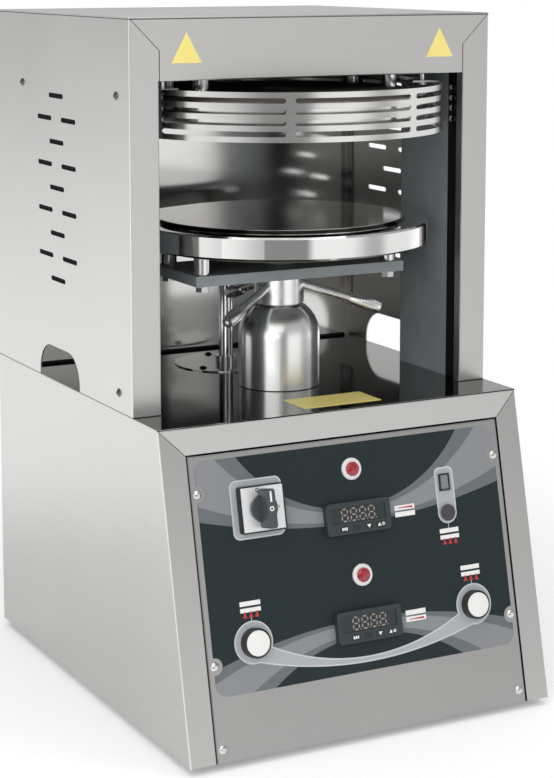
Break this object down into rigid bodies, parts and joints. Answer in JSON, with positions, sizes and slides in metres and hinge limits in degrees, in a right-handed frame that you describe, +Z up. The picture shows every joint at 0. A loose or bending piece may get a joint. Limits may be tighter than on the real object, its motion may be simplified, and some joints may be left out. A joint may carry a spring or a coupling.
{
  "type": "pizza dough press",
  "caption": "Bench-top heated dough press: stainless cabinet with sloping control panel, a ram that lifts a round lower plate to a fixed upper plate, and a slotted guard ring.",
  "frame": {"origin": "middle of the bounding box, on the plane under the rubber feet", "axes": "+Z up; -Y is the front with the control panel; +X is to the right of a person facing it"},
  "size_m": [0.4448, 0.563, 0.7625],
  "materials": {
    "stainless": "satin brushed",
    "polished_steel": "mirror polished stainless",
    "chrome": "bright",
    "aluminium": "fine turned",
    "slate_paint": "satin slate grey",
    "grey_metal": "plain grey",
    "electric_parts": "plain",
    "black_plastic": "fine grain",
    "rubber": "matt",
    "bronze": "machined",
    "mica": "pressed sheet",
    "film": "printed film",
    "dark_window": "tinted",
    "grey_window": "clear over grey",
    "grey_button": "satin",
    "red_lens": "moulded",
    "white_cap": "moulded"
  },
  "bodies": {
    "cabinet": {"base_left_side": "stainless", "base_right_side": "stainless", "base_back": "stainless", "base_floor": "stainless", "housing_left_side": "stainless", "housing_right_side": "stainless", "housing_roof": "stainless", "housing_back": "stainless", "inner_back_wall": "stainless", "guide_cover": "stainless", "control_panel": "stainless", "deck": "polished_steel", "case_screws": "chrome", "upper_plate": "chrome", "upper_pillars": "chrome", "ring_hangers": "chrome", "guide_bush": "chrome", "thrust_bearing": "chrome", "panel_screws": "chrome", "lamp_bezels": "chrome", "bell": "aluminium", "switch_plate": "aluminium", "left_upright": "slate_paint", "right_upright": "slate_paint", "base_beam": "slate_paint", "crosshead": "slate_paint", "frame_bolts": "grey_metal", "gearbox": "grey_metal", "gearbox_posts": "grey_metal", "drive_motor": "grey_metal", "electric_tray": "electric_parts", "cable_gland": "black_plastic", "switch_body": "black_plastic", "controllers": "black_plastic", "timer_display": "black_plastic", "button_bodies": "black_plastic", "rubber_feet": "rubber", "ram_bushes": "bronze", "upper_heater": "mica", "panel_overlay": "film", "controller_windows": "dark_window", "timer_window": "grey_window", "lamp_lenses": "red_lens"},
    "guard_ring": {"guard_ring": "stainless"},
    "ram": {"ram": "chrome", "ram_nut": "bronze"},
    "lead_screw": {"lead_screw": "grey_metal"},
    "carriage": {"support_plate": "slate_paint", "support_bolts": "grey_metal", "lower_spacers": "chrome", "lower_plate": "chrome", "lower_heater": "mica", "guide_rod": "chrome"},
    "collar": {"adjusting_collar": "chrome", "handle_rods": "chrome", "handle_grips": "chrome"},
    "switch_knob": {"switch_knob": "black_plastic"},
    "timer_button": {"timer_button": "grey_button"},
    "left_button": {"left_button": "white_cap"},
    "right_button": {"right_button": "white_cap"}
  },
  "joints": [
    {"name": "press_lift", "type": "slide", "parent": "cabinet", "child": "ram", "axis": [0, 0, 1], "range_m": [0, 0.105]},
    {"name": "screw_turn", "type": "hinge", "parent": "cabinet", "child": "lead_screw", "pos_m": [0, -0.0555, 0.2], "axis": [0, 0, 1], "range_deg": [-3781, 1]},
    {"name": "plate_adjust", "type": "slide", "parent": "ram", "child": "carriage", "axis": [0, 0, 1], "range_m": [0, 0.004]},
    {"name": "collar_turn", "type": "hinge", "parent": "carriage", "child": "collar", "pos_m": [0, -0.0555, 0.45], "axis": [0, 0, 1], "range_deg": [0, 360]},
    {"name": "ring_lift", "type": "slide", "parent": "cabinet", "child": "guard_ring", "axis": [0, 0, 1], "range_m": [0, 0.008]},
    {"name": "switch_turn", "type": "hinge", "parent": "cabinet", "child": "switch_knob", "pos_m": [-0.11268, -0.22585, 0.25368], "axis": [0, 0.9753, -0.2209], "range_deg": [0, 90]},
    {"name": "left_press", "type": "slide", "parent": "cabinet", "child": "left_button", "axis": [0, 0.9753, -0.2209], "range_m": [0, 0.005], "stiffness_N_per_m": 900, "springref_m": -0.001},
    {"name": "right_press", "type": "slide", "parent": "cabinet", "child": "right_button", "axis": [0, 0.9753, -0.2209], "range_m": [0, 0.005], "stiffness_N_per_m": 900, "springref_m": -0.001},
    {"name": "timer_press", "type": "slide", "parent": "cabinet", "child": "timer_button", "axis": [0, 0.9753, -0.2209], "range_m": [0, 0.002], "stiffness_N_per_m": 1200, "springref_m": -0.0005}
  ],
  "couplings": [
    {"joint": "screw_turn", "follows": "press_lift", "rad_per_m": -628.32},
    {"joint": "plate_adjust", "follows": "collar_turn", "m_per_rad": 0.00063662}
  ]
}
